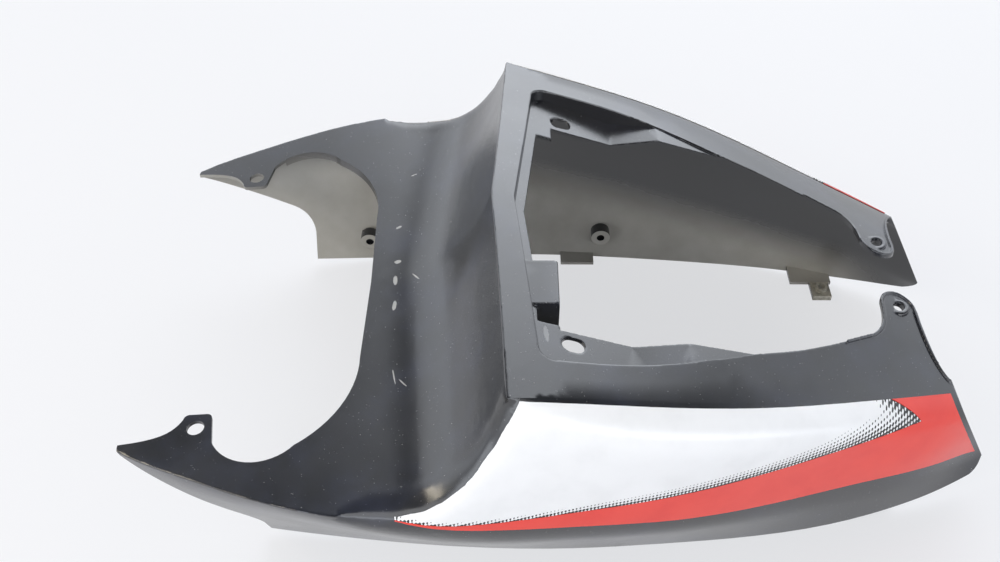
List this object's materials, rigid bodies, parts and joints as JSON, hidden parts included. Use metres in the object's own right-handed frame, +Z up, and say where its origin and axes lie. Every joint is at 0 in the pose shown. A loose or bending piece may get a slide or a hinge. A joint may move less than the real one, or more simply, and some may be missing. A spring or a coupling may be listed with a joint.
{
  "type": "motorcycle tail fairing",
  "caption": "One-piece moulded motorcycle tail cover with a saddle-shaped rider notch, a framed pillion opening, side panels with colour films and clip nuts at the tail.",
  "frame": {"origin": "bottom centre of the part's box, on the ground below the middle of the part", "axes": "+X to the motorcycle's rear, +Y to its right, +Z up"},
  "size_m": [0.62, 0.4232, 0.2053],
  "materials": {
    "black_plastic": "satin",
    "white_film": "gloss",
    "red_film": "gloss",
    "plated_steel": "satin"
  },
  "bodies": {
    "root": {"fairing_shell": "black_plastic", "right_white_decal": "white_film", "left_white_decal": "white_film", "right_red_decal": "red_film", "left_red_decal": "red_film", "right_clip_nut": "plated_steel", "left_clip_nut": "plated_steel"}
  },
  "joints": []
}
